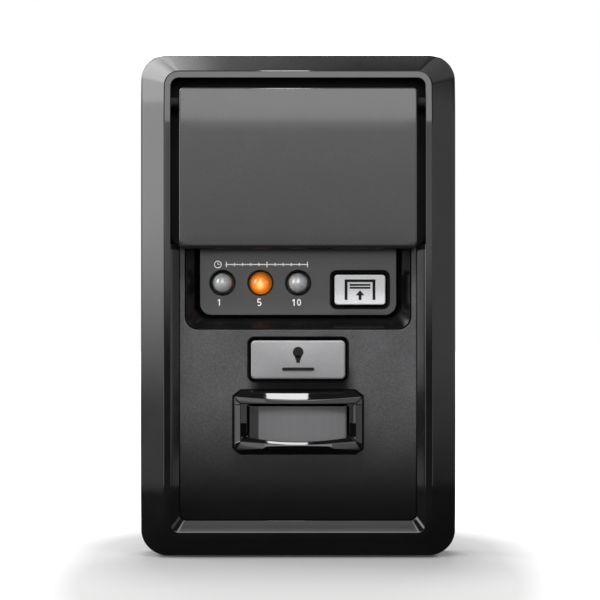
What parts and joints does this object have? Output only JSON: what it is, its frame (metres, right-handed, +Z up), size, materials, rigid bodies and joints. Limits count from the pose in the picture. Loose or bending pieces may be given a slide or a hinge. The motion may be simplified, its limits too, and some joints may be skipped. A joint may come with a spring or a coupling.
{
  "type": "garage door wall control panel",
  "caption": "Wall panel for a garage door opener: hinged door bar, lock, learn, light and hold open buttons, timer lamps and a hooded motion sensor in a bowed housing.",
  "frame": {"origin": "centre of the flat back that lies on the wall", "axes": "+Z up the wall, +X to the right as seen by the user, the front faces -Y"},
  "size_m": [0.0806, 0.0193, 0.129],
  "materials": {
    "housing_gloss": "polished black plastic",
    "face_matte": "fine grained charcoal plastic",
    "bar_satin": "satin dark grey plastic",
    "timer_satin": "satin dark grey plastic",
    "button_grey": "satin mid grey plastic",
    "button_silver": "satin pale grey plastic",
    "setup_button": "satin mid grey plastic",
    "lens_milky": "smoky translucent plastic",
    "lamp_clear": "unlit frosted lamp",
    "lamp_amber": "lit amber lamp",
    "cover_black": "spark grained black plastic",
    "board_green": "solder mask",
    "chip_black": "moulded black resin",
    "switch_steel": "bright plated steel",
    "screw_steel": "zinc plated steel",
    "terminal_brass": "bright brass",
    "lead_tin": "tinned wire",
    "window_dark": "dark infrared window"
  },
  "bodies": {
    "housing": {"front_bezel": "housing_gloss", "faceplate": "face_matte", "timer_panel": "timer_satin", "hold_open_switch": "switch_steel", "light_switch": "switch_steel", "lock_switch": "switch_steel", "learn_switch": "switch_steel", "push_bar_switch": "switch_steel", "led_1": "lamp_clear", "led_5": "lamp_amber", "led_10": "lamp_clear", "led_spacers": "chip_black", "led_leads": "lead_tin", "pir_hood": "housing_gloss", "pir_lens": "lens_milky", "pir_sensor_can": "switch_steel", "pir_sensor_window": "window_dark", "pir_sensor_pins": "lead_tin", "circuit_board": "board_green", "microcontroller": "chip_black", "bridge_rectifier": "chip_black", "storage_capacitor": "switch_steel", "chip_resistors": "chip_black", "rear_cover": "cover_black", "terminal_plate_left": "terminal_brass", "terminal_plate_right": "terminal_brass", "case_screws": "screw_steel", "board_screws": "screw_steel", "terminal_screws": "screw_steel"},
    "push_bar": {"push_bar": "bar_satin"},
    "push_bar_plunger": {"push_bar_plunger": "chip_black"},
    "hold_open_button": {"hold_open_button": "button_silver", "hold_open_plunger": "chip_black"},
    "light_button": {"light_button": "button_grey", "light_plunger": "chip_black"},
    "lock_button": {"lock_button": "setup_button", "lock_plunger": "chip_black"},
    "learn_button": {"learn_button": "setup_button", "learn_plunger": "chip_black"}
  },
  "joints": [
    {"name": "push_bar_hinge", "type": "hinge", "parent": "housing", "child": "push_bar", "pos_m": [0, -0.0156, 0.0515], "axis": [-1, 0, 0], "range_deg": [-2, 80], "stiffness_Nm_per_rad": 0.15},
    {"name": "door_switch_press", "type": "slide", "parent": "housing", "child": "push_bar_plunger", "axis": [0, 1, 0], "range_m": [0, 0.0004], "stiffness_N_per_m": 800, "springref_m": -0.0002},
    {"name": "hold_open_press", "type": "slide", "parent": "housing", "child": "hold_open_button", "axis": [0, 1, 0], "range_m": [0, 0.0004], "stiffness_N_per_m": 800, "springref_m": -0.0002},
    {"name": "light_press", "type": "slide", "parent": "housing", "child": "light_button", "axis": [0, 1, 0], "range_m": [0, 0.0004], "stiffness_N_per_m": 800, "springref_m": -0.0002},
    {"name": "lock_press", "type": "slide", "parent": "housing", "child": "lock_button", "axis": [0, 1, 0], "range_m": [0, 0.0004], "stiffness_N_per_m": 800, "springref_m": -0.0002},
    {"name": "learn_press", "type": "slide", "parent": "housing", "child": "learn_button", "axis": [0, 1, 0], "range_m": [0, 0.0004], "stiffness_N_per_m": 800, "springref_m": -0.0002}
  ]
}
